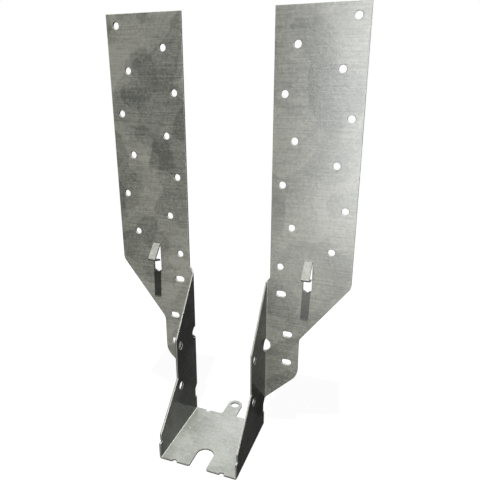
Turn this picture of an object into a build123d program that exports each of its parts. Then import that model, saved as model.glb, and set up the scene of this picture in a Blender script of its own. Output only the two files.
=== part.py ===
from build123d import *
import os
from math import pi, radians, tan

# Long-leg joist hanger, folded from one sheet of galvanised steel.
# X runs across the joist, Y runs back to the header and Z is up.
# The origin is the middle of the seat's top face, in the plane of the header face.
# Heights are taken from the seat's top face and depths from the header plane.
# Widths on a flange are taken from the outer face of its side plate.

# Sheet
sheet = 0.9
bend_inner = 0.4

# Space for the joist
joist_gap = 39.0
seat_depth = 43.4
seat_rear = 1.9

# Outline of the header flanges
flange_width = 40.8
flange_height = 206.8
relieved_edge = 1.1
shoulder_height = 85.3
waist_width = 17.05
waist_top = 53.7
skirt_rise = 8.75
skirt_angle = 45.0
shoulder_round = 5.0
waist_round = 6.0
skirt_round = 9.0

# Outline of the side plates
plate_front = 22.65
lip_height = 7.8
lip_setback = 1.4
lip_relief = 0.6
nose_rise = 4.65
plate_round = 1.0

# Round relief hole across each upright fold, just below the top of the waist
relief_radius = 3.4
relief_drop = 5.75

# Nail holes of the flanges, one a row, in two columns that both step sideways every second row
nail_hole = 3.35
nail_pitch = 10.0
nail_margin = 5.1
nail_inner_margin = 5.0
nail_stagger = 5.0

# Nail holes of the side plates, upper and lower, taken from the plate's front edge and its corners
joist_nail_hole = 4.4
joist_nail_insets = (4.3, 3.2)
joist_nail_drops = (4.8, 6.0)

# Slots below the nail holes
slot_length = 5.1
slot_width = 3.2
slot_edge = 5.95
slot_step = 3.8
slot_below_shoulder = 7.8
slot_above_waist = 2.2
slot_above_skirt = 6.8

# Speed prongs and the slots that they are struck out of
prong_place = 20.2
prong_top = 96.0
prong_length = 16.1
prong_width = 4.2
prong_shear_gap = 0.1
prong_point = 1.5
prong_drop = 7.7
prong_reach = 6.95
prong_return = 6.4
prong_tip_angle = 15.0
prong_inner = 0.2
prong_lap = 2.0

# Seat
mouth_radius = 4.4
mouth_depth = 13.3
mouth_round = 1.0
index_notch = 1.25
index_place = 7.05
tab_hole = 4.6
tab_wall = 1.7
tab_reach = 11.55
tab_root_round = 1.2

# Derived places
half_gap = joist_gap / 2
plate_face = half_gap + sheet
bend_outer = bend_inner + sheet
fold_x = half_gap + bend_outer
fold_arc = pi / 2 * (bend_inner + sheet / 2)
skirt_slope = tan(radians(skirt_angle))
shoulder_slope = (shoulder_height - waist_top) / (flange_width - waist_width)
fold_bottom = lip_height + skirt_rise
waist_bottom = fold_bottom + (waist_width - bend_inner) * skirt_slope
plate_top = waist_top + (plate_front - bend_outer) * shoulder_slope
fold_top = plate_top + fold_arc * shoulder_slope
plate_bottom = fold_bottom - fold_arc * skirt_slope
plate_rear = seat_rear + lip_setback
lip_front = seat_depth - lip_setback
nose_height = lip_height + nose_rise
plate_front_bottom = nose_height + lip_front - plate_front
relieved_x = fold_x + relieved_edge
relief_height = waist_top - relief_drop
seat_half_flat = half_gap - bend_inner
tab_width = tab_hole + 2 * tab_wall
tab_center = tab_reach - tab_width / 2
prong_x = plate_face + prong_place


# Profile of one quarter bend of the sheet about a centre
def bend_section(plane, center, start):
    with BuildSketch(plane) as section:
        with BuildLine():
            inside = CenterArc(center, bend_inner, start, 90)
            outside = CenterArc(center, bend_outer, start, 90)
            Line(inside @ 0, outside @ 0)
            Line(inside @ 1, outside @ 1)
        make_face()
    return section.sketch


# Plane in which a sheared edge of the given slope runs on round the upright fold
def edge_round_fold(height, slope):
    lean = slope * fold_arc / (2 * bend_outer)
    return Plane(origin=(fold_x, 0, height), z_dir=(-lean, -lean, 1))


# Places of the flange's nail holes, row by row from the top
def nail_places():
    outer = plate_face + flange_width - nail_margin
    inner = relieved_x + nail_inner_margin + nail_stagger
    top = flange_height - nail_margin
    rows = int((top - shoulder_height - nail_margin) / nail_pitch) + 1
    for row in range(rows):
        column = (outer, inner)[row % 2]
        stagger = row // 2 % 2 * nail_stagger
        yield column - stagger, top - row * nail_pitch


with BuildPart() as joist_hanger:
    # Upright fold between side plate and flange, sheared off in line with their edges
    upright_fold = bend_section(Plane.XY, (fold_x, -bend_outer), 90)
    extrude(upright_fold, amount=flange_height)
    split(bisect_by=edge_round_fold(fold_top, shoulder_slope), keep=Keep.BOTTOM)
    split(bisect_by=edge_round_fold(fold_bottom, skirt_slope), keep=Keep.TOP)

    # Fold between seat and side plate
    seat_fold = bend_section(Plane.XZ.offset(seat_rear), (seat_half_flat, bend_inner), -90)
    extrude(seat_fold, amount=seat_depth - seat_rear)

    # Header flange
    with BuildSketch(Plane.XZ):
        with BuildLine():
            FilletPolyline(
                (fold_x, fold_bottom),
                (plate_face + waist_width, waist_bottom),
                (plate_face + waist_width, waist_top),
                (plate_face + flange_width, shoulder_height),
                (plate_face + flange_width, flange_height),
                (relieved_x, flange_height),
                (relieved_x, fold_top + relieved_edge * shoulder_slope),
                (fold_x, fold_top),
                radius=(0, skirt_round, waist_round, shoulder_round, 0, 0, 0, 0),
                close=True,
            )
        make_face()
    extrude(amount=sheet)

    # Side plate
    with BuildSketch(Plane.YZ.offset(half_gap)):
        with BuildLine():
            FilletPolyline(
                (-seat_rear, bend_inner),
                (-seat_rear, lip_height),
                (-plate_rear, lip_height),
                (-plate_rear, plate_bottom - (plate_rear - bend_outer) * skirt_slope),
                (-bend_outer, plate_bottom),
                (-bend_outer, plate_top),
                (-plate_front, waist_top),
                (-plate_front, plate_front_bottom),
                (-lip_front, nose_height),
                (-lip_front, lip_height),
                (-seat_depth, lip_height),
                (-seat_depth, bend_inner),
                radius=(0, 0, 0, 0, 0, 0, plate_round, plate_round, plate_round, 0, 0, 0),
                close=True,
            )
        make_face()
        # Small round reliefs where the lip steps back to the plate
        with Locations((-plate_rear, lip_height + lip_relief), (-lip_front, lip_height + lip_relief)):
            Circle(lip_relief, mode=Mode.SUBTRACT)
        # Nail holes into the joist
        for edge_height, inset, drop in zip(
            (waist_top, plate_front_bottom), joist_nail_insets, joist_nail_drops
        ):
            with Locations((inset - plate_front, edge_height - drop)):
                Circle(joist_nail_hole / 2, mode=Mode.SUBTRACT)
    extrude(amount=sheet)

    # Relief hole across the upright fold: its half in the plate, then its half in the flange
    with BuildSketch(Plane.YZ.offset(half_gap)):
        with Locations((-bend_outer, relief_height)):
            Circle(relief_radius)
    extrude(amount=bend_outer, mode=Mode.SUBTRACT)
    with BuildSketch(Plane.XZ):
        with Locations((fold_x - fold_arc, relief_height)):
            Circle(relief_radius)
    extrude(amount=bend_outer, mode=Mode.SUBTRACT)

    # Nail holes, slots and prong slot of the flange
    with BuildSketch(Plane.XZ):
        with Locations(*nail_places()):
            Circle(nail_hole / 2)
        slot_x = plate_face + waist_width - slot_edge
        with Locations(
            (slot_x - slot_step, shoulder_height - slot_below_shoulder),
            (slot_x, waist_top + slot_above_waist),
            (slot_x, waist_bottom + slot_above_skirt),
        ):
            SlotOverall(slot_length, slot_width)
        with BuildLine():
            Polyline(
                (prong_x - prong_width / 2, prong_top),
                (prong_x + prong_width / 2, prong_top),
                (prong_x + prong_width / 2, prong_top - prong_length + prong_point),
                (prong_x, prong_top - prong_length),
                (prong_x - prong_width / 2, prong_top - prong_length + prong_point),
                close=True,
            )
        make_face()
    extrude(amount=sheet, mode=Mode.SUBTRACT)

    # Speed prong: bent out at the top of its slot, then folded back with its point at the header
    prong_fold = Vector(-sheet - prong_reach, prong_top - prong_drop)
    tip_run = Vector(1, 0).rotate(Axis.Z, -prong_tip_angle)
    prong_tip = prong_fold + tip_run * prong_return
    with BuildSketch(Plane.YZ.offset(prong_x)):
        with BuildLine():
            FilletPolyline(
                (-sheet, prong_top + prong_lap),
                (-sheet, prong_top),
                prong_fold,
                prong_tip,
                radius=(prong_inner, prong_inner + sheet),
            )
            offset(amount=sheet, side=Side.LEFT)
        make_face()
    extrude(amount=prong_width / 2 - prong_shear_gap, both=True)

    # Point of the prong, the same V that it leaves in the slot
    tip_plane = Plane(
        origin=(prong_x, prong_tip.X, prong_tip.Y),
        x_dir=(1, 0, 0),
        z_dir=(0, tip_run.Y, -tip_run.X),
    )
    with BuildSketch(tip_plane):
        with BuildLine():
            Polyline((0, 0), (prong_width / 2, 0), (prong_width / 2, -prong_point), close=True)
        make_face()
        mirror(about=Plane.YZ)
    extrude(amount=2 * sheet, both=True, mode=Mode.SUBTRACT)

    # The other side
    mirror(about=Plane.YZ)

    # Seat with its rear tab and its front mouth
    with BuildSketch(Plane.XY):
        with Locations((0, -seat_rear)):
            Rectangle(2 * seat_half_flat, seat_depth - seat_rear, align=(Align.CENTER, Align.MAX))
            Rectangle(tab_width, seat_rear + tab_center, align=(Align.CENTER, Align.MIN))
        with Locations((0, -seat_depth)):
            Rectangle(
                2 * mouth_radius,
                mouth_depth - mouth_radius,
                align=(Align.CENTER, Align.MIN),
                mode=Mode.SUBTRACT,
            )
        # Rounded roots of the tab, then rounded corners of the mouth
        for edge_y, corner_round in ((-seat_rear, tab_root_round), (-seat_depth, mouth_round)):
            inner = vertices().filter_by_position(Axis.X, -seat_half_flat / 2, seat_half_flat / 2)
            fillet(inner.filter_by_position(Axis.Y, edge_y, edge_y), corner_round)
        with Locations((0, tab_center)):
            Circle(tab_width / 2)
            Circle(tab_hole / 2, mode=Mode.SUBTRACT)
        with Locations((0, mouth_depth - mouth_radius - seat_depth)):
            Circle(mouth_radius, mode=Mode.SUBTRACT)
        # Index notches, two in each edge
        index_x = half_gap - index_place
        for edge_y in (-seat_rear, -seat_depth):
            with Locations((-index_x, edge_y), (index_x, edge_y)):
                Circle(index_notch, mode=Mode.SUBTRACT)
    extrude(amount=-sheet)

joist_hanger.part.label = "joist_hanger"

os.makedirs("parts", exist_ok=True)
export_step(joist_hanger.part, "parts/joist_hanger.step")
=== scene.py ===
import bpy
from math import radians
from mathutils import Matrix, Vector


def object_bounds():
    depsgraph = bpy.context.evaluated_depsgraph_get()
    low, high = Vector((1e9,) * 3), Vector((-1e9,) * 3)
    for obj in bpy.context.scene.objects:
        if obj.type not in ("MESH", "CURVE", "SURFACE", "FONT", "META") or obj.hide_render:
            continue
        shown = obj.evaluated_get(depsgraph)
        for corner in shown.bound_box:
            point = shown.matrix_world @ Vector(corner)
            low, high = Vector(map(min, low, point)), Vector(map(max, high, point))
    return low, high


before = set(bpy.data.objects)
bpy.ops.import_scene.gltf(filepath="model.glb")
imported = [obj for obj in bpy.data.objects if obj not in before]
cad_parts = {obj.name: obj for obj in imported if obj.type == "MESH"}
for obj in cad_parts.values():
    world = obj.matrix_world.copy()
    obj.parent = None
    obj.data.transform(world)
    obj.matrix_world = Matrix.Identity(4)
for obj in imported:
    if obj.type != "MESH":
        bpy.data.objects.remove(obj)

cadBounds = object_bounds()
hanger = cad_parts["joist_hanger"]
mm = 0.001
noiseMiddle = 0.5      # what a noise gives on average
print("frame loaded, joist hanger in its box", cadBounds)


def srgb(hexCode):
    # '#rrggbb' to the linear colour that the shaders want
    values = [int(hexCode[i:i + 2], 16) / 255 for i in (1, 3, 5)]
    linear = [v / 12.92 if v <= 0.04045 else ((v + 0.055) / 1.055) ** 2.4 for v in values]
    return linear + [1.0]


def addNode(tree, kind, settings, inputs):
    # one node: its settings, then its inputs in order or by name, where nodes and sockets are linked
    node = tree.nodes.new("ShaderNode" + kind)
    for name, value in settings.items():
        setattr(node, name, value)
    for key, value in inputs.items() if isinstance(inputs, dict) else enumerate(inputs):
        if isinstance(value, bpy.types.Node):
            value = value.outputs[0]
        if isinstance(value, bpy.types.NodeSocket):
            tree.links.new(value, node.inputs[key])
        else:
            node.inputs[key].default_value = value
    return node


# settings that come back often
add, subtract, multiply, divide = [
    {"operation": name} for name in ("ADD", "SUBTRACT", "MULTIPLY", "DIVIDE")]
multiplyAdd, minimum, maximum = [
    {"operation": name} for name in ("MULTIPLY_ADD", "MINIMUM", "MAXIMUM")]
absolute, sign, lessThan, greaterThan = [
    {"operation": name} for name in ("ABSOLUTE", "SIGN", "LESS_THAN", "GREATER_THAN")]
smoothly = {"interpolation_type": "SMOOTHSTEP"}
colourMix = {"data_type": "RGBA"}      # its inputs 0, 6 and 7 are the share and the two colours


zinc = {
    # the sheet as it is folded, in mm
    "sheet": 0.9,
    "halfGap": 19.5,              # middle of the seat to a side plate's inner face
    "foldX": 20.8,                # where an upright fold has turned into the flange
    "foldY": 1.3,                 # and into the side plate
    "foldZ": 0.4,                 # inside radius of the folds beside the seat
    # colours
    "colour": "#d4d4c6",          # zinc coating as it leaves the bath, faintly warm
    "levelSkyReflection": "#d0d2cd",     # painted cool reflection of the pale sky on the level faces
    "darkSpangle": "#7f8178",     # grains that lie turned away
    "plateShadeColour": "#545553",     # painted shade on the side plates, which face sideways, away from the light
    "brightColour": "#b4b5b1",    # the metal itself, as its sheen shows it
    "shearedEdge": "#cccdc5",     # coating dragged over one half of a sheared edge
    "brokenEdge": "#918e87",      # bare steel in its other half
    # gloss
    "roughness": 0.27,
    "roughnessSwing": 0.006,      # dark grains are rougher, light ones smoother
    "mirror": 0.5,                # how much the dull film mirrors
    "bright": 0.3,                # how much bare bright zinc shows through it
    # pattern
    "patternAt": (2.257, 1.403, 0.0),   # m, the part of the endless pattern that the sheet has
    "otherFace": 0.15,            # m, how far off the other face's pattern is
    "middle": 0.5,                # tone of the plain coating, 0 is darkSpangle and 1 is colour
    "spangleSize": 15.0,          # mm, the large soft grains
    "spangleWander": 10.0,        # mm, how far their outlines are pushed about
    "spangleTone": 0.42,
    "wanderSize": 30.0,           # mm from one push to the next
    "patchSize": 26.0,            # mm, rounded patches where the film dried lighter
    "patchSteps": (0.47, 0.55),   # the noise levels where a patch starts
    "patchEdge": 0.012,           # a clear outline
    "patchMiddle": 0.75,          # how many steps a spot has on average
    "patchTone": 0.26,            # on the left leg
    "patchFaint": 0.12,           # on the right one
    "patchFade": 30.0,            # mm from the middle, where each is reached
    "cloudSize": 14.0,            # mm, cloudy patches from the wiping of the bath
    "cloudTone": 0.35,
    "frostSize": 1.3,             # mm, the mottle inside a grain
    "frostTone": 1.6,
    "frostHeight": 0.5,           # share of the bump
    "lineSpacing": 0.65,          # mm between rolling lines; the real 0.2 mm is too fine to show
    "lineLength": 20.0,           # mm
    "lineTone": 1.05,
    "lineHeight": 0.5,            # share of the bump
    "lineOtherFace": 5.0,         # so that the other face has its own lines
    "speckSize": 7.0,             # mm between pale specks
    "speckReach": (0.03, 0.08),   # their size, as a share of that
    "speckTone": 0.3,
    "bump": 0.07,                 # mm
    # side plates
    "plateFrom": 0.7,             # how squarely a face looks sideways to count as a side plate
    "plateShadeShare": 0.8,             # how much of their colour is the painted shade colour
    "plateSmooth": 0.17,          # a little smoother, so that they mirror the seat
    "plateMirror": 0.2,           # but weakly
    # level faces
    "levelFrom": 0.6,             # how squarely a face looks up to count as level
    "levelCalm": 0.65,            # the coating's shades differ less there
    "seatShade": 0.19,             # painted shade: the seat a little darker than the flanges
    "seatBendShade": 0.24,         # and deeper painted shade towards its bends
    "seatReach": 20.0,            # mm from its brightest line
    "seatBrightAt": 3.0,          # mm, where that line lies
    # bends and edges
    "bendHighlightTone": 0.5,              # painted highlight along a bend
    "seatBendHighlightTone": 2.2,          # and a stronger painted highlight along the two beside the seat
    "edgeRoll": 0.45,             # mm, how the shears round an edge over
    "edgeSlack": 1.02,            # a sheared face reaches hardly past half the sheet's thickness
    "edgeTurn": 0.5,              # and looks along the sheet
    "edgeRagged": 0.6,            # mm, how far the bare half's border wanders
    "brokenFrom": -0.1,           # that border, in half thicknesses from the middle
}


def makeZinc(name):
    # Hot-dip galvanised mill sheet, sheared and folded after coating: dull silver with
    # soft-edged spangle, fine rolling lines along the sheet and brighter sheared edges
    material = bpy.data.materials.new(name)
    material.use_nodes = True
    tree = material.node_tree
    tree.nodes.clear()

    place = addNode(tree, "TexCoord", {}, {})
    x, y, z = addNode(tree, "SeparateXYZ", {}, [place.outputs["Object"]]).outputs
    nx, ny, nz = addNode(tree, "SeparateXYZ", {}, [place.outputs["Normal"]]).outputs
    # how squarely a face looks to a side, to the front or back, and up or down
    facesSide, facesFront, facesUp = [addNode(tree, "Math", absolute, [part]) for part in (nx, ny, nz)]
    side = addNode(tree, "Math", sign, [x])
    out = addNode(tree, "Math", absolute, [x])

    # places on the flat sheet before it was folded, so that a grain runs on round a bend:
    # across the hanger and up its legs, and along the plates and out over the flanges
    halfGap = zinc["halfGap"] * mm
    seatPart = addNode(tree, "Math", minimum, [out, halfGap])
    legPart = addNode(tree, "Math", add, [seatPart, z])
    across = addNode(tree, "Math", multiply, [legPart, side])
    pastPlate = addNode(tree, "Math", subtract, [out, halfGap + zinc["sheet"] * mm])
    flangePart = addNode(tree, "Math", maximum, [pastPlate, 0.0])
    along = addNode(tree, "Math", add, [y, flangePart])
    # the two faces of the sheet have their own grains
    outward = addNode(tree, "Math", multiply, [nx, side])
    backUp = addNode(tree, "Math", add, [ny, nz])
    faceOf = addNode(tree, "Math", subtract, [backUp, outward])
    layer = addNode(tree, "Math", multiply, [faceOf, zinc["otherFace"]])
    onSheet = addNode(tree, "CombineXYZ", {}, [across, along, layer])
    flat = addNode(tree, "VectorMath", add, [onSheet, zinc["patternAt"]])

    # large grains with a clear but wandering outline, each a shade of its own
    wander = addNode(tree, "TexNoise", {}, {
        "Vector": flat, "Scale": 1 / (zinc["wanderSize"] * mm), "Detail": 3.0, "Roughness": 0.5})
    reach = zinc["spangleWander"] * mm
    pushed = addNode(tree, "VectorMath", multiplyAdd, [wander.outputs["Color"], (reach, reach, 0.0), flat])
    spangle = addNode(tree, "TexVoronoi", {"feature": "SMOOTH_F1"}, {
        "Vector": pushed, "Scale": 1 / (zinc["spangleSize"] * mm), "Smoothness": 0.12, "Randomness": 1.0})
    spangleShade = addNode(tree, "SeparateColor", {}, [spangle.outputs["Color"]])
    # rounded patches of the passivated film, in two steps
    film = addNode(tree, "TexNoise", {}, {
        "Vector": flat, "Scale": 1 / (zinc["patchSize"] * mm), "Detail": 1.5, "Roughness": 0.4})
    patches = 0.0
    for start in zinc["patchSteps"]:
        patch = addNode(tree, "MapRange", {}, {
            "Value": film, "From Min": start, "From Max": start + zinc["patchEdge"]})
        patches = addNode(tree, "Math", add, [patch, patches])
    # clouds across several grains, and the mottle inside one
    cloud = addNode(tree, "TexNoise", {}, {
        "Vector": flat, "Scale": 1 / (zinc["cloudSize"] * mm), "Detail": 3.0, "Roughness": 0.55})
    frost = addNode(tree, "TexNoise", {}, {
        "Vector": flat, "Scale": 1 / (zinc["frostSize"] * mm), "Detail": 4.0, "Roughness": 0.7})

    # rolling lines, level on every face: thin in height, long along the face
    rise = addNode(tree, "Math", multiplyAdd, [facesUp, y, z])
    run = addNode(tree, "Math", multiplyAdd, [facesSide, y, x])
    lineRise = addNode(tree, "Math", divide, [rise, zinc["lineSpacing"] * mm])
    lineRun = addNode(tree, "Math", divide, [run, zinc["lineLength"] * mm])
    lineLayer = addNode(tree, "Math", multiply, [faceOf, zinc["lineOtherFace"]])
    lineSpot = addNode(tree, "CombineXYZ", {}, [lineRise, lineRun, lineLayer])
    line = addNode(tree, "TexNoise", {}, {
        "Vector": lineSpot, "Scale": 1.0, "Detail": 2.0, "Roughness": 0.6})

    # pale specks where the coating beaded
    bead = addNode(tree, "TexVoronoi", {"feature": "F1"}, {
        "Vector": flat, "Scale": 1 / (zinc["speckSize"] * mm), "Randomness": 1.0})
    speckNear, speckFar = zinc["speckReach"]
    speck = addNode(tree, "MapRange", {}, {
        "Value": bead.outputs["Distance"], "From Min": speckNear, "From Max": speckFar,
        "To Min": 1.0, "To Max": 0.0})

    # how bright the coating is at this spot: each pattern swings it about its middle
    tone = zinc["middle"]
    for pattern, share in (
            (spangleShade, "spangleTone"), (cloud, "cloudTone"), (frost, "frostTone"), (line, "lineTone")):
        swing = addNode(tree, "Math", subtract, [pattern, noiseMiddle])
        tone = addNode(tree, "Math", multiplyAdd, [swing, zinc[share], tone])
    tone = addNode(tree, "Math", multiplyAdd, [speck, zinc["speckTone"], tone])
    # the patches are strong on the left leg and faint on the right one
    patchTone = addNode(tree, "MapRange", {}, {
        "Value": across, "From Min": -zinc["patchFade"] * mm, "From Max": zinc["patchFade"] * mm,
        "To Min": zinc["patchTone"], "To Max": zinc["patchFaint"]})
    patchSwing = addNode(tree, "Math", subtract, [patches, zinc["patchMiddle"]])
    tone = addNode(tree, "Math", multiplyAdd, [patchSwing, patchTone, tone])
    calm = addNode(tree, "Math", multiplyAdd, [facesUp, -zinc["levelCalm"], 1.0])
    toneSwing = addNode(tree, "Math", subtract, [tone, zinc["middle"]])
    tone = addNode(tree, "Math", multiplyAdd, [toneSwing, calm, zinc["middle"]])
    # painted shade: the seat a little darker, and more so towards the bends beside it
    level = addNode(tree, "MapRange", smoothly, {
        "Value": facesUp, "From Min": zinc["levelFrom"], "From Max": 1.0})
    fromBrightest = addNode(tree, "Math", multiplyAdd, [
        x, 1 / (zinc["seatReach"] * mm), -zinc["seatBrightAt"] / zinc["seatReach"]])
    squared = addNode(tree, "Math", multiply, [fromBrightest, fromBrightest])
    shadeTowardsBend = addNode(tree, "Math", multiply, [squared, zinc["seatBendShade"]])
    overSeat = addNode(tree, "Math", lessThan, [out, halfGap])
    shadeBesideBend = addNode(tree, "Math", multiply, [shadeTowardsBend, overSeat])
    seatShadeDepth = addNode(tree, "Math", add, [shadeBesideBend, zinc["seatShade"]])
    seatShade = addNode(tree, "Math", multiply, [level, seatShadeDepth])
    tone = addNode(tree, "Math", subtract, [tone, seatShade])
    # painted highlight: every bend is brighter
    uprightBendHighlight = addNode(tree, "Math", multiply, [facesFront, zinc["bendHighlightTone"]])
    seatBendHighlight = addNode(tree, "Math", multiply, [facesUp, zinc["seatBendHighlightTone"]])
    bendHighlight = addNode(tree, "Math", maximum, [uprightBendHighlight, seatBendHighlight])
    tone = addNode(tree, "Math", multiplyAdd, [facesSide, bendHighlight, tone])

    toneClipped = addNode(tree, "Clamp", {}, [tone])
    # painted reflection: the level faces take a cooler tint, as they mirror the pale sky
    lightestWithSkyReflection = addNode(tree, "Mix", colourMix, {
        0: facesUp, 6: srgb(zinc["colour"]), 7: srgb(zinc["levelSkyReflection"])}).outputs[2]
    spangledCoat = addNode(tree, "Mix", colourMix, {
        0: toneClipped, 6: srgb(zinc["darkSpangle"]), 7: lightestWithSkyReflection}).outputs[2]
    # painted shade on the side plates, by how squarely a face looks sideways; the same share makes them
    # smoother and mirror less
    plateShadeAndGloss = addNode(tree, "MapRange", smoothly, {
        "Value": facesSide, "From Min": zinc["plateFrom"], "From Max": 1.0, "To Max": zinc["plateShadeShare"]})
    coatAndPlateShade = addNode(tree, "Mix", colourMix, {
        0: plateShadeAndGloss, 6: spangledCoat, 7: srgb(zinc["plateShadeColour"])}).outputs[2]

    # sheared edges: the faces that look along the sheet, one test for each flat part of it
    half = zinc["sheet"] * mm / 2
    flangeDepth = addNode(tree, "Math", add, [y, half])                  # from the middle of its thickness
    plateDepth = addNode(tree, "Math", subtract, [out, halfGap + half])  # and of the side plate's
    seatDepth = addNode(tree, "Math", add, [z, half])                    # and of the seat's
    beyondFold = addNode(tree, "Math", greaterThan, [out, zinc["foldX"] * mm])
    beforeFold = addNode(tree, "Math", lessThan, [y, -zinc["foldY"] * mm])
    aboveFold = addNode(tree, "Math", greaterThan, [z, zinc["foldZ"] * mm])
    insideFold = addNode(tree, "Math", lessThan, [out, (zinc["halfGap"] - zinc["foldZ"]) * mm])
    sheetParts = (
        (flangeDepth, facesFront, (beyondFold,)),
        (plateDepth, facesSide, (beforeFold, aboveFold)),
        (seatDepth, facesUp, (insideFold,)),
    )
    cloudSwing = addNode(tree, "Math", subtract, [cloud, noiseMiddle])
    edge = 0.0
    broken = 0.0
    for depth, facesOut, limits in sheetParts:
        fromMiddle = addNode(tree, "Math", absolute, [depth])
        here = addNode(tree, "Math", lessThan, [fromMiddle, half * zinc["edgeSlack"]])
        sheared = addNode(tree, "Math", lessThan, [facesOut, zinc["edgeTurn"]])
        for limit in (sheared, *limits):
            here = addNode(tree, "Math", multiply, [here, limit])
        ragged = addNode(tree, "Math", multiplyAdd, [cloudSwing, zinc["edgeRagged"] * mm, depth])
        bare = addNode(tree, "Math", greaterThan, [ragged, zinc["brokenFrom"] * half])
        edge = addNode(tree, "Math", add, [here, edge])
        broken = addNode(tree, "Math", multiplyAdd, [here, bare, broken])
    edgeShade = addNode(tree, "Mix", colourMix, {
        0: broken, 6: srgb(zinc["shearedEdge"]), 7: srgb(zinc["brokenEdge"])}).outputs[2]
    colour = addNode(tree, "Mix", colourMix, {0: edge, 6: coatAndPlateShade, 7: edgeShade}).outputs[2]

    flangeRoughness = addNode(tree, "MapRange", {}, {
        "Value": tone, "To Min": zinc["roughness"] + zinc["roughnessSwing"],
        "To Max": zinc["roughness"] - zinc["roughnessSwing"]})
    roughness = addNode(tree, "Math", multiplyAdd, [plateShadeAndGloss, -zinc["plateSmooth"], flangeRoughness])
    lineHeight = addNode(tree, "Math", multiply, [line, zinc["lineHeight"]])
    height = addNode(tree, "Math", multiplyAdd, [frost, zinc["frostHeight"], lineHeight])
    rolled = addNode(tree, "Bevel", {"samples": 6}, {"Radius": zinc["edgeRoll"] * mm})
    bump = addNode(tree, "Bump", {}, {"Height": height, "Distance": zinc["bump"] * mm, "Normal": rolled})

    # the dull film over bright zinc; on the side plates the film alone
    mirror = addNode(tree, "MapRange", {}, {
        "Value": plateShadeAndGloss, "From Max": zinc["plateShadeShare"],
        "To Min": zinc["mirror"], "To Max": zinc["plateMirror"]})
    brightShare = addNode(tree, "MapRange", {}, {
        "Value": plateShadeAndGloss, "From Max": zinc["plateShadeShare"], "To Min": zinc["bright"], "To Max": 0.0})
    dullFilm = addNode(tree, "BsdfPrincipled", {}, {
        "Base Color": colour, "Roughness": roughness, "Specular IOR Level": mirror, "Normal": bump})
    bright = addNode(tree, "BsdfPrincipled", {}, {
        "Base Color": srgb(zinc["brightColour"]), "Metallic": 1.0, "Roughness": roughness, "Normal": bump})
    surface = addNode(tree, "MixShader", {}, [brightShare, dullFilm, bright])
    addNode(tree, "OutputMaterial", {}, {"Surface": surface})
    return material


galvanised = makeZinc("Hot-dip galvanised mill sheet")
for slot in hanger.material_slots:
    slot.material = galvanised
print("galvanised finish on the sheet")


floorSizes = {
    "size": 8.0,                 # m
    "shade": 0.05,               # how much of the floor's white the object's shadow may take
    "shadeGlow": 0.8,            # how much of that the white glow gives up, and the light makes good
    "reach": (0.2, 0.5),         # m, where the shadow fades into the plain white
    "dimColour": "#2a2a29",      # the floor as a source of light for the object
    "poolAt": (0.145, -0.36),    # m, a painted pool of light on the floor, a glow that only the metal's reflections see
    "poolReach": (0.12, 0.34),   # m, full inside the first, gone by the second
    "poolLevel": 1.6,
}
floorHeight = cadBounds[0][2]
bpy.ops.object.select_all(action="DESELECT")
bpy.ops.mesh.primitive_plane_add(size=floorSizes["size"], location=(0, 0, floorHeight))
floor = bpy.context.active_object
floor.name = "floor"


def makeFloor(name):
    # Matt painted studio floor: white to the camera, with the object's faint shadow,
    # and dim as a source of light but for a painted pool of light that only reflections see
    material = bpy.data.materials.new(name)
    material.use_nodes = True
    tree = material.node_tree
    tree.nodes.clear()
    ray = addNode(tree, "LightPath", {}, {})
    spot = addNode(tree, "TexCoord", {}, {}).outputs["Object"]

    away = addNode(tree, "VectorMath", {"operation": "LENGTH"}, [spot]).outputs["Value"]
    shadeNear, shadeFar = floorSizes["reach"]
    shade = addNode(tree, "MapRange", {}, {
        "Value": away, "From Min": shadeNear, "From Max": shadeFar,
        "To Min": floorSizes["shade"], "To Max": 0.0})
    shadeColour = addNode(tree, "CombineColor", {}, [shade, shade, shade])
    lit = addNode(tree, "BsdfDiffuse", {}, {"Color": shadeColour})
    glowLevel = addNode(tree, "Math", multiplyAdd, [shade, -floorSizes["shadeGlow"], 1.0])
    glow = addNode(tree, "Emission", {}, {"Strength": glowLevel})
    seen = addNode(tree, "AddShader", {}, [lit, glow])

    # painted pool of light: the floor glows here, but only in the metal's reflections
    poolCentre = (*floorSizes["poolAt"], 0.0)
    fromPool = addNode(tree, "VectorMath", {"operation": "DISTANCE"}, [spot, poolCentre]).outputs["Value"]
    poolNear, poolFar = floorSizes["poolReach"]
    pool = addNode(tree, "MapRange", smoothly, {
        "Value": fromPool, "From Min": poolNear, "From Max": poolFar,
        "To Min": floorSizes["poolLevel"], "To Max": 0.0})
    poolLevel = addNode(tree, "Math", multiply, [pool, ray.outputs["Is Glossy Ray"]])
    paintedPoolGlow = addNode(tree, "Emission", {}, {"Strength": poolLevel})
    dim = addNode(tree, "BsdfDiffuse", {}, {"Color": srgb(floorSizes["dimColour"])})
    unseen = addNode(tree, "AddShader", {}, [dim, paintedPoolGlow])

    both = addNode(tree, "MixShader", {}, [ray.outputs["Is Camera Ray"], unseen, seen])
    addNode(tree, "OutputMaterial", {}, {"Surface": both})
    return material


floor.data.materials.append(makeFloor("Matt white floor paint"))
print("floor laid")


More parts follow.
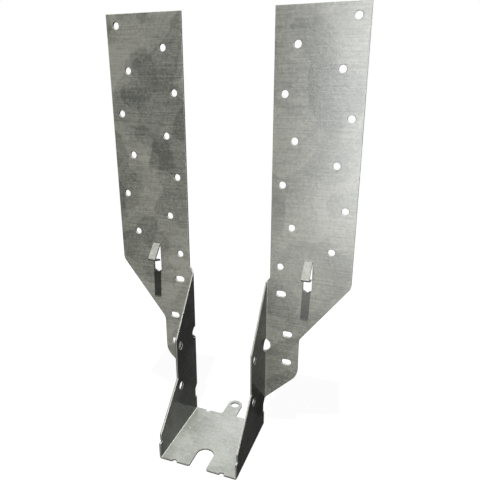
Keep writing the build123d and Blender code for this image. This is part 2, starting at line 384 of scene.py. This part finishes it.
room = {
    "dim": 0.022,        # the dark sides of the room
    "front": 0.12,       # a little more light from the room's front
    "back": 0.9,         # and from its pale back wall, which lights the flanges' backs
    "turn": 0.2,         # how soon one passes into the other
    "backGlow": 0.3,     # what the metal sees of the white background
    "backAt": 0.7,       # how squarely a ray has to look back to see all of it
    "colour": "#f2f6ff",
}
world = bpy.data.worlds.new("Studio")
bpy.context.scene.world = world
world.use_nodes = True
worldTree = world.node_tree
worldTree.nodes.clear()
worldRay = addNode(worldTree, "LightPath", {}, {})
skySpot = addNode(worldTree, "TexCoord", {}, {}).outputs["Generated"]
heading = addNode(worldTree, "SeparateXYZ", {}, [skySpot]).outputs[1]
ends = addNode(worldTree, "MapRange", {}, {
    "Value": heading, "From Min": -room["turn"], "From Max": room["turn"],
    "To Min": room["front"], "To Max": room["back"]})
headingSquared = addNode(worldTree, "Math", multiply, [heading, heading])
soft = addNode(worldTree, "Math", multiplyAdd, [headingSquared, ends, room["dim"]])
behind = addNode(worldTree, "MapRange", {}, {
    "Value": heading, "From Max": room["backAt"], "To Max": room["backGlow"]})
glossy = addNode(worldTree, "Math", multiply, [behind, worldRay.outputs["Is Glossy Ray"]])
roomLevel = addNode(worldTree, "Math", maximum, [glossy, soft])
seenLevel = addNode(worldTree, "Math", maximum, [roomLevel, worldRay.outputs["Is Camera Ray"]])
tint = addNode(worldTree, "Mix", colourMix, {
    0: worldRay.outputs["Is Camera Ray"], 6: srgb(room["colour"]), 7: srgb("#ffffff")}).outputs[2]
sky = addNode(worldTree, "Background", {}, {"Color": tint, "Strength": seenLevel})
addNode(worldTree, "OutputWorld", {}, {"Surface": sky})

lights = {
    "keyFrom": (0.038, -0.255, 1.0),    # high and a little in front, as the prongs' shadows run
    "keyStrength": 6.5,                 # W/m2
    "keySpread": 1.2,                   # degrees, small enough for a shadow with a clear edge
    "panelAt": (0.148, -0.36, 0.192),   # m, a tall soft panel behind the camera, facing the right flange
    "panelFacing": (0.0, -1.0, 0.0),    # away from its light, which goes towards +Y
    "panelSize": (0.33, 0.35),          # m
    "panelPower": 1.36,                 # W
    "panelColour": "#f8f9ff",
}
key = bpy.data.lights.new("key", "SUN")
key.energy = lights["keyStrength"]
key.angle = radians(lights["keySpread"])
keyHolder = bpy.data.objects.new("key", key)
bpy.context.collection.objects.link(keyHolder)
keyHolder.rotation_euler = Vector(lights["keyFrom"]).to_track_quat("Z", "Y").to_euler()
keyHolder.visible_glossy = False   # its small hard mirror image would burn the prongs white

panel = bpy.data.lights.new("panel", "AREA")
panel.shape = "RECTANGLE"
panel.size, panel.size_y = lights["panelSize"]
panel.energy = lights["panelPower"]
panel.color = srgb(lights["panelColour"])[:3]
panelHolder = bpy.data.objects.new("panel", panel)
bpy.context.collection.objects.link(panelHolder)
panelHolder.location = lights["panelAt"]
panelHolder.rotation_euler = Vector(lights["panelFacing"]).to_track_quat("Z", "Y").to_euler()
panelHolder.visible_camera = False
panelHolder.visible_diffuse = False   # it only gives the metal its sheen
print("room and lights set")


shot = {
    "position": (0.08471, -0.21261, 0.17612),   # m
    "yaw": 20.348,                              # degrees to the left of straight back
    "pitch": 17.951,                            # degrees down
    "lens": 36.31,                              # mm
    "sensor": 36.0,                             # mm
    "nearest": 0.01,                            # m, nothing closer is drawn
}
camera = bpy.data.cameras.new("photograph view")
camera.lens = shot["lens"]
camera.sensor_width = shot["sensor"]
camera.sensor_fit = "HORIZONTAL"
camera.clip_start = shot["nearest"]
cameraHolder = bpy.data.objects.new("photograph view", camera)
bpy.context.collection.objects.link(cameraHolder)
cameraHolder.location = shot["position"]
cameraHolder.rotation_euler = (radians(90.0 - shot["pitch"]), 0.0, radians(shot["yaw"]))   # 90 looks level
bpy.context.scene.camera = cameraHolder
bpy.context.scene.view_settings.view_transform = "Standard"
print("camera placed")
